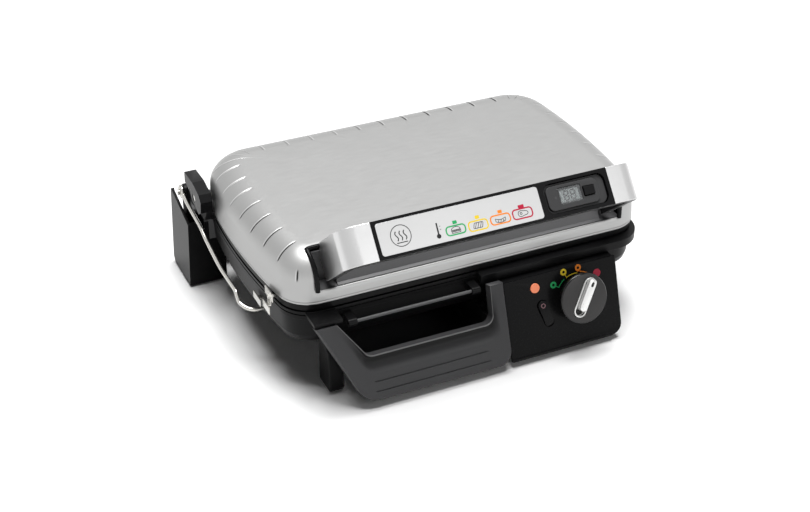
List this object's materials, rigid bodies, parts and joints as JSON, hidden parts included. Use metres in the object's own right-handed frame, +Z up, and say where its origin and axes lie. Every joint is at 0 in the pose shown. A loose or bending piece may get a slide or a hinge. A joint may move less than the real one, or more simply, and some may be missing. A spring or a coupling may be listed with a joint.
{
  "type": "electric_contact_grill",
  "caption": "Countertop contact grill: hinged satin steel lid with bar handle and timer, black base, sloped control panel with dial, and a sliding drip tray in front.",
  "frame": {"origin": "On the tabletop under the middle of the overall box; the rubber pads stand on z = 0.", "axes": "+X to the right seen from the front, +Y to the rear where the hinge is, +Z up."},
  "size_m": [0.4528, 0.3451, 0.1996],
  "materials": {
    "satin_steel": "satin stainless sheet",
    "silver_metal": "fine satin silver",
    "bright_steel": "bright drawn steel",
    "element_metal": "dark sheathed heating tube",
    "coated_plate": "black non-stick coating on cast aluminium",
    "black_plastic": "black moulded plastic, slightly satin",
    "black_gloss": "black satin-gloss plastic",
    "grey_plastic": "dark grey moulded plastic",
    "tray_grey": "dark grey satin plastic",
    "display_grey": "grey-green liquid crystal",
    "clear_window": "clear window",
    "amber_lens": "salmon-orange translucent lens",
    "ceramic": "off-white insulator",
    "black_rubber": "black rubber"
  },
  "bodies": {
    "base": {"base_housing": "black_plastic", "base_rim": "black_plastic", "lower_plate": "coated_plate", "lower_element": "element_metal", "lower_reflector": "bright_steel", "stand_left": "black_plastic", "stand_right": "black_plastic", "hinge_pin_left": "bright_steel", "hinge_pin_right": "bright_steel", "side_wire_left": "bright_steel", "side_wire_right": "bright_steel", "rear_bridge": "black_plastic", "cord_inlet": "black_rubber", "front_foot_left": "black_plastic", "front_foot_right": "black_plastic", "rubber_pads": "black_rubber", "control_housing": "black_plastic", "control_panel": "black_gloss", "indicator_lens": "amber_lens", "thermostat_body": "ceramic", "switch_body": "black_plastic", "lamp_holder": "black_plastic", "terminal_block": "ceramic", "tray_rails": "black_plastic", "tray_bar": "bright_steel", "bar_brackets": "black_plastic", "housing_screws": "bright_steel"},
    "lid": {"lid_cover": "satin_steel", "lid_frame": "black_plastic", "lid_bezel": "grey_plastic", "handle_core": "black_plastic", "handle_cap_left": "silver_metal", "handle_cap_right": "silver_metal", "handle_frame": "black_gloss", "label_plate": "silver_metal", "timer_case": "grey_plastic", "timer_lens": "clear_window", "timer_display": "display_grey", "hinge_arm_left": "black_plastic", "hinge_arm_right": "black_plastic", "arm_screws": "bright_steel", "upper_plate": "coated_plate", "upper_element": "element_metal", "upper_reflector": "bright_steel", "handle_screws": "bright_steel"},
    "tray": {"drip_tray": "tray_grey"},
    "thermostat": {"thermostat_knob": "grey_plastic", "knob_pointer": "silver_metal", "thermostat_shaft": "bright_steel"},
    "rocker": {"power_rocker": "black_gloss"},
    "timer_key": {"timer_button": "black_plastic"},
    "upper_clip": {"upper_plate_clip": "bright_steel"},
    "lower_clip": {"lower_plate_clip": "bright_steel"}
  },
  "joints": [
    {"name": "lid_hinge", "type": "hinge", "parent": "base", "child": "lid", "pos_m": [0, 0.144, 0.102], "axis": [-1, 0, 0], "range_deg": [0, 176]},
    {"name": "tray_slide", "type": "slide", "parent": "base", "child": "tray", "axis": [0, -1, 0], "range_m": [0, 0.18]},
    {"name": "thermostat_turn", "type": "hinge", "parent": "base", "child": "thermostat", "pos_m": [0.104, -0.14716, 0.05544], "axis": [0, -0.9483, 0.3173], "range_deg": [-40, 170]},
    {"name": "rocker_tilt", "type": "hinge", "parent": "base", "child": "rocker", "pos_m": [0.0664, -0.14844, 0.04532], "axis": [-0.9511, -0.0981, -0.293], "range_deg": [0, 10]},
    {"name": "timer_press", "type": "slide", "parent": "lid", "child": "timer_key", "axis": [0, 0.766, -0.6428], "range_m": [0, 0.0012], "stiffness_N_per_m": 1500},
    {"name": "upper_clip_press", "type": "slide", "parent": "lid", "child": "upper_clip", "axis": [1, 0, 0], "range_m": [0, 0.002], "stiffness_N_per_m": 2500},
    {"name": "lower_clip_press", "type": "slide", "parent": "base", "child": "lower_clip", "axis": [1, 0, 0], "range_m": [0, 0.002], "stiffness_N_per_m": 2500}
  ]
}
